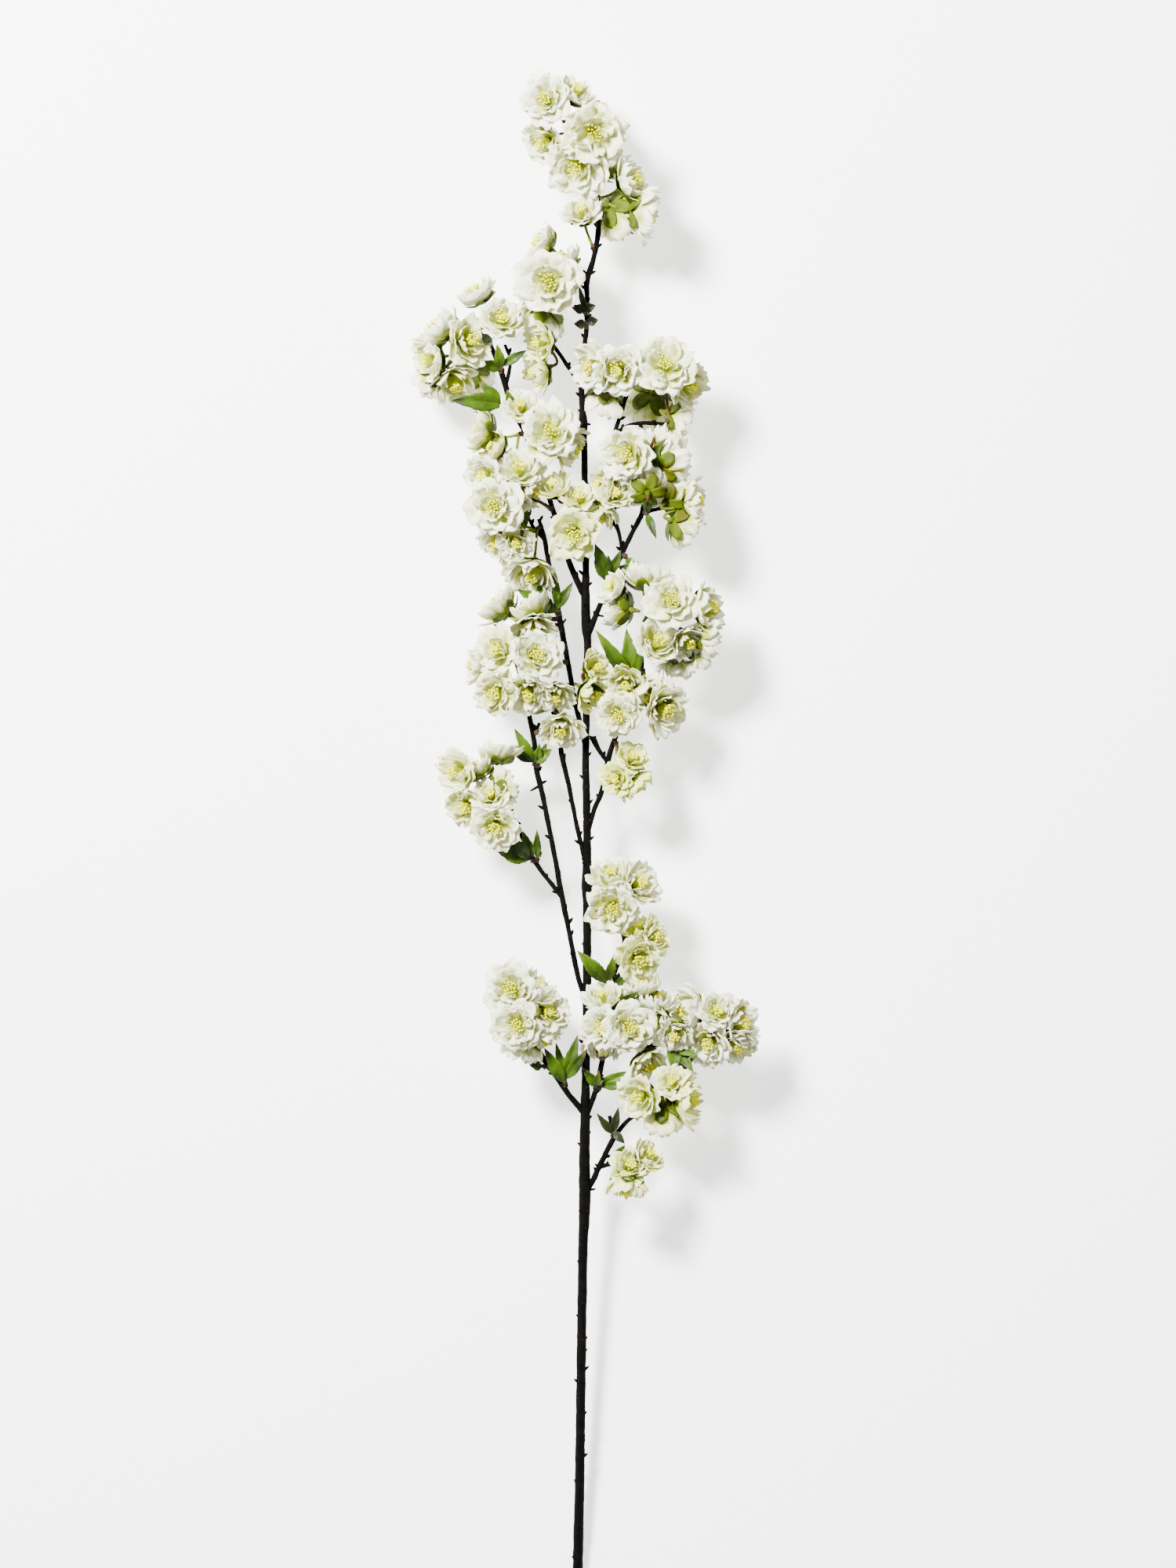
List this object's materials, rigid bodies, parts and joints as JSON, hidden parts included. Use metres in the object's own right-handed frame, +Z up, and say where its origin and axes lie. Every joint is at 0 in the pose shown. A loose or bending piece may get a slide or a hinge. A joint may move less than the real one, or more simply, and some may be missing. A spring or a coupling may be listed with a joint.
{
  "type": "cherry blossom branch",
  "caption": "Long slender branch of double white cherry blossom with toothed leaves, cut and lying on its side.",
  "frame": {"origin": "middle of the spray's length and width, on the surface that it lies on", "axes": "+Y along the stem from its cut end to its tip, +X across the spray, +Z up from the surface"},
  "size_m": [0.2634, 1.201, 0.0897],
  "materials": {
    "bark": "matte flecked bark",
    "petals": "matte thin white petals, with green stalks and cups and yellow stamens",
    "leaves": "satin veined leaf"
  },
  "bodies": {
    "root": {"bunch_a1": "petals", "bunch_a2": "petals", "bunch_a3": "petals", "bunch_b": "petals", "bunch_c": "petals", "bunch_d": "petals", "bunch_e1": "petals", "bunch_e2": "petals", "bunch_f1": "petals", "bunch_f2": "petals", "bunch_g": "petals", "bunch_h1": "petals", "bunch_h2": "petals", "bunch_h3": "petals", "bunch_i1": "petals", "bunch_i2": "petals", "bunch_i3": "petals", "bunch_j1": "petals", "bunch_j2": "petals", "bunch_j3": "petals", "bunch_j4": "petals", "bunch_k1": "petals", "bunch_k2": "petals", "bunch_k3": "petals", "bunch_l1": "petals", "bunch_l2": "petals", "bunch_l3": "petals", "bunch_l4": "petals", "bunch_m": "petals", "bunch_n1": "petals", "bunch_n2": "petals", "bunch_o": "petals", "bunch_p": "petals", "bunch_q": "petals", "bunch_r": "petals", "bunch_s": "petals", "bunch_t1": "petals", "bunch_t2": "petals", "bunch_t3": "petals", "bunch_u": "petals", "bunch_v1": "petals", "bunch_v2": "petals", "bunch_w": "petals", "wood": "bark", "leaves_stem_bud": "leaves", "leaves_upper_left": "leaves", "leaves_upper_left_tip": "leaves", "leaves_long_right_end": "leaves", "leaves_long_right_middle": "leaves", "leaves_left_arm": "leaves", "leaves_lower_right": "leaves", "leaves_long_left": "leaves", "leaves_left_fork": "leaves", "leaves_middle_right_top": "leaves", "leaves_low_left": "leaves", "leaves_low_left_end": "leaves", "leaves_middle_right_low": "leaves", "leaves_middle_right_side": "leaves"}
  },
  "joints": []
}
